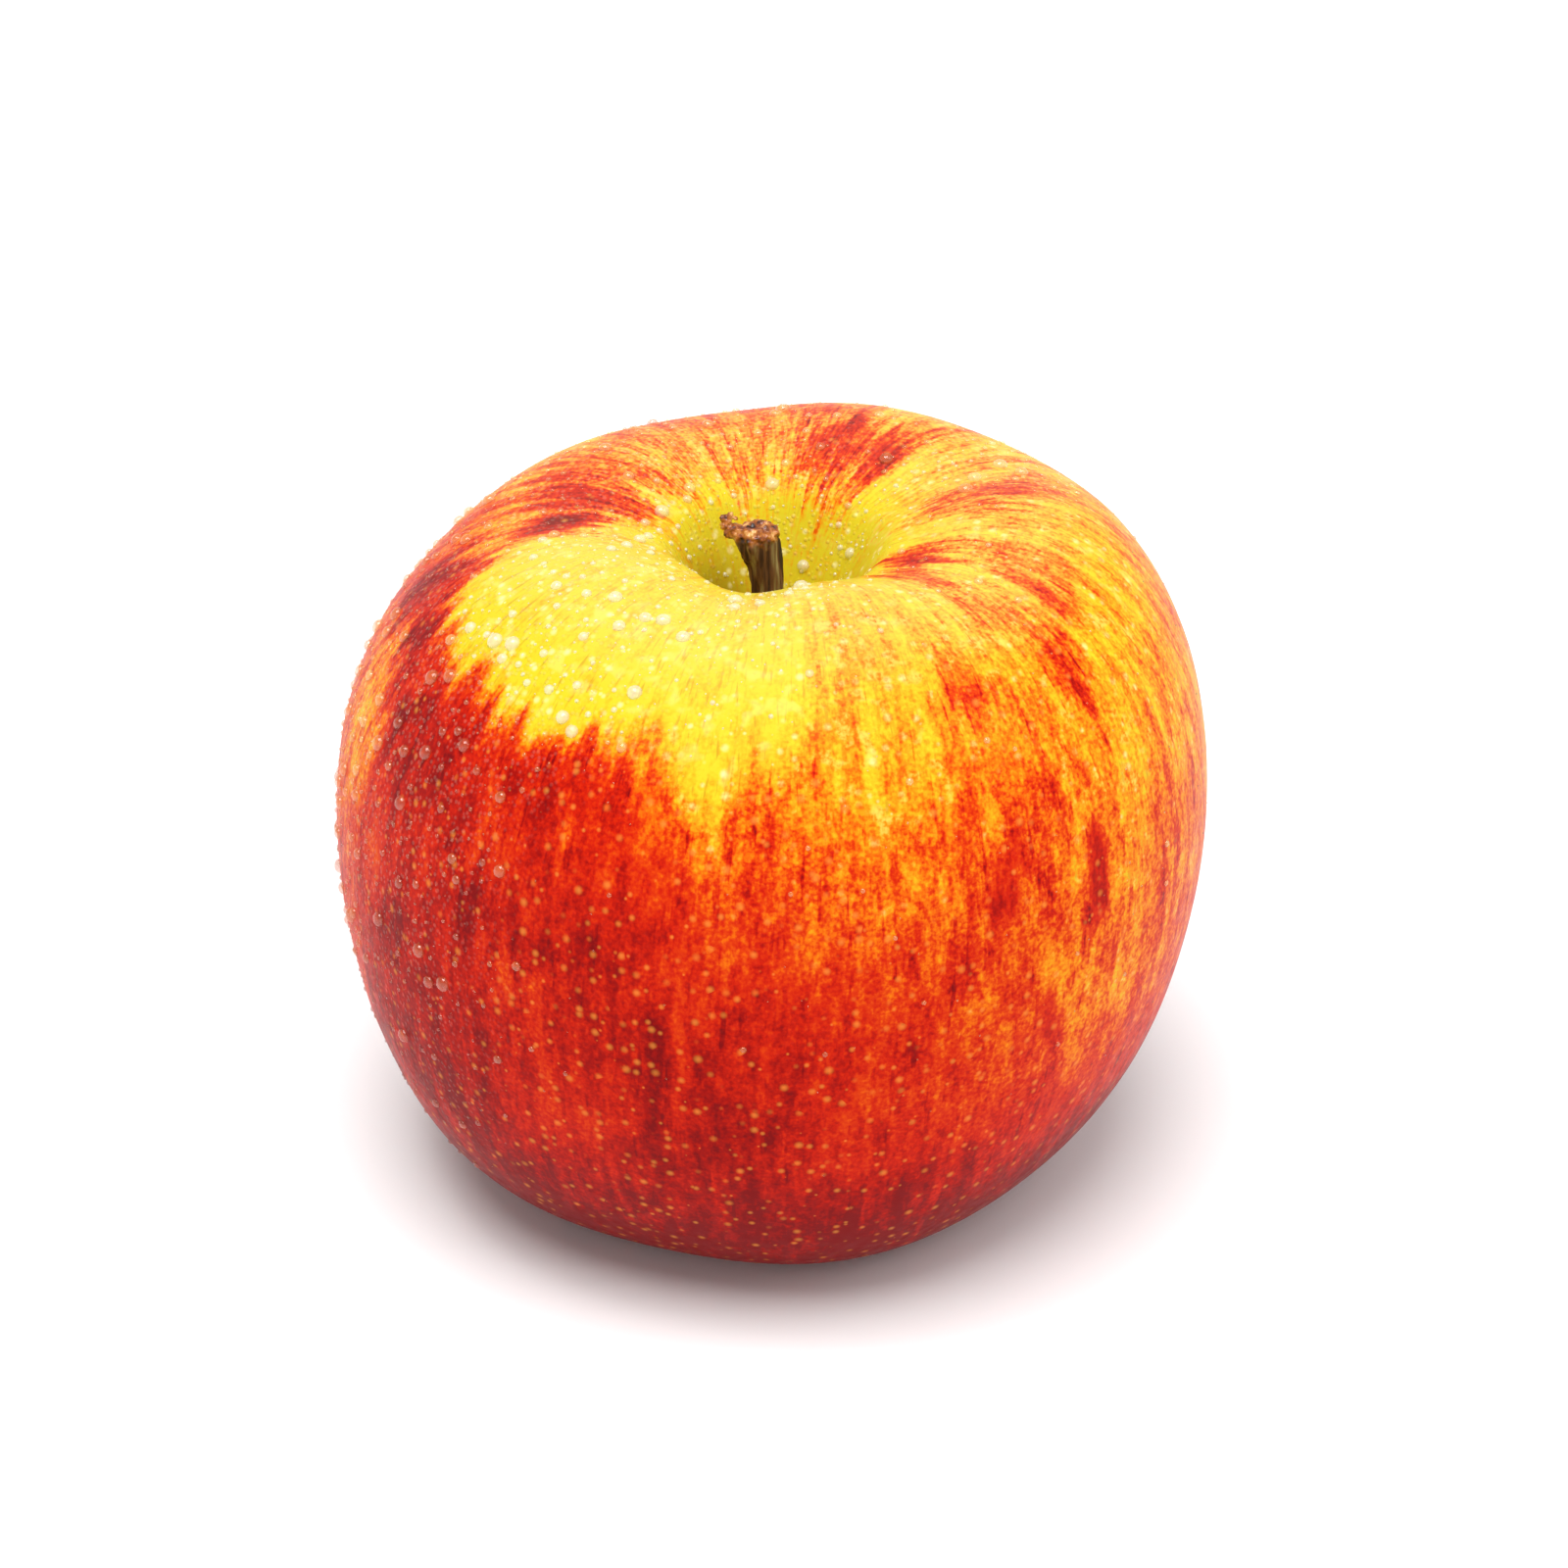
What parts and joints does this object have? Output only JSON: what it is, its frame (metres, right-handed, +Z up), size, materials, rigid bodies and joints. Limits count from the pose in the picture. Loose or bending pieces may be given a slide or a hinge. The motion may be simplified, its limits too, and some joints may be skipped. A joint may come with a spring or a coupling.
{
  "type": "apple",
  "caption": "Ripe red and yellow dessert apple with a woody stem in its cavity and a dried calyx underneath, standing on its flat foot ring.",
  "frame": {"origin": "middle of the widest ring, on the plane that the apple stands on", "axes": "+Z up through the stem; +X is the side the crown leans to; -Y faces the front of the blush pattern"},
  "size_m": [0.076, 0.076, 0.0618],
  "materials": {
    "skin": "gloss",
    "stem_bark": "matte",
    "dry_calyx": "matte"
  },
  "bodies": {
    "root": {"fruit": "skin", "stem": "stem_bark", "sepal_1": "dry_calyx", "sepal_2": "dry_calyx", "sepal_3": "dry_calyx", "sepal_4": "dry_calyx", "sepal_5": "dry_calyx", "stamen_tuft": "dry_calyx"}
  },
  "joints": []
}
